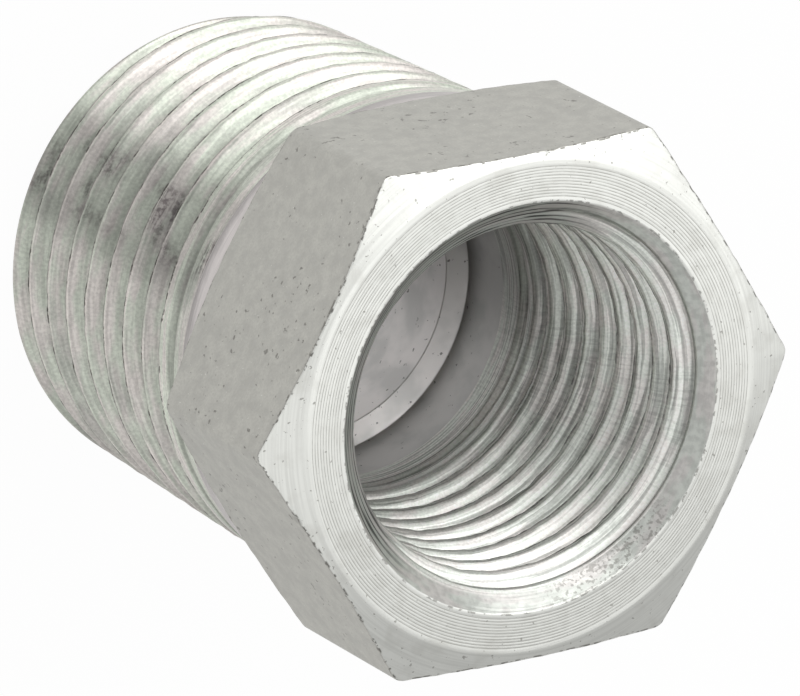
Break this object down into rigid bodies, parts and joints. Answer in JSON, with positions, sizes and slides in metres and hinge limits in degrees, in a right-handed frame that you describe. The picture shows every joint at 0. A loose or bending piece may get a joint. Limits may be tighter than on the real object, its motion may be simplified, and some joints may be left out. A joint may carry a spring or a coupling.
{
  "type": "hydraulic adapter",
  "caption": "Hexagonal steel reducing adapter: a tapered pipe thread outside the shank, a smaller tapered pipe thread inside the hexagon, and a bore straight through.",
  "frame": {"origin": "centre of the threaded end's face, the lowest plane of the part as it stands", "axes": "+Z along the axis from the outside thread to the hexagon's open face, +X through two opposite corners of the hexagon, +Y square to a pair of flats"},
  "size_m": [0.0254, 0.0222, 0.028],
  "materials": {
    "zinc_plated_steel": "turned from hexagon bar, zinc plated and clear passivated"
  },
  "bodies": {
    "root": {"adapter_body": "zinc_plated_steel"}
  },
  "joints": []
}
